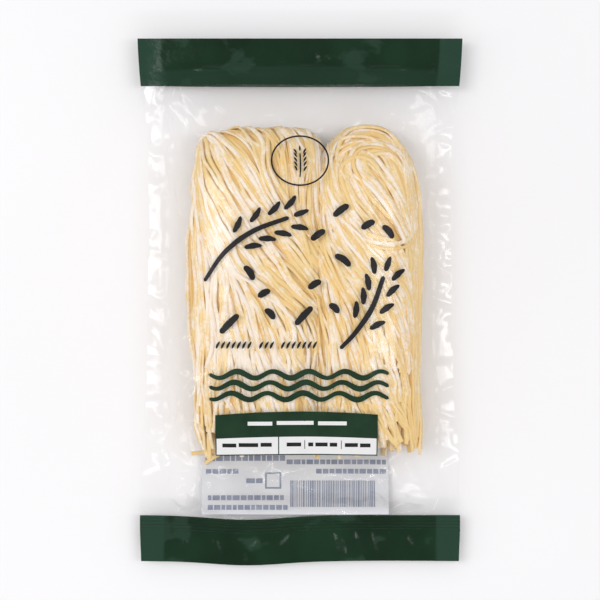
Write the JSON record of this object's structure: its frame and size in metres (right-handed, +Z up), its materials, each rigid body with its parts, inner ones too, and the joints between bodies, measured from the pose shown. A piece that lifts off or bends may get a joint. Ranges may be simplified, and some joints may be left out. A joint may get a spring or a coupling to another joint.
{
  "type": "pack of fresh pasta",
  "caption": "Sealed clear film pouch with flat side seals and a dark band across each end, holding side-by-side hanks of thin fresh pasta, lying on its back.",
  "frame": {"origin": "centre of the pouch's box, at the surface that it lies on", "axes": "+Z up out of the printed front, +Y towards the top band, +X across the pouch"},
  "size_m": [0.1204, 0.1938, 0.027],
  "materials": {
    "clear_film": "clear glossy film",
    "band_print": "glossy dark green print",
    "pasta": "matte fresh dough dusted with flour",
    "flour": "matte white flour",
    "dark_ink": "glossy black print",
    "white_ink": "white print",
    "grey_ink": "blue-grey print seen through white"
  },
  "bodies": {
    "root": {"bag": "clear_film"}
  },
  "joints": []
}
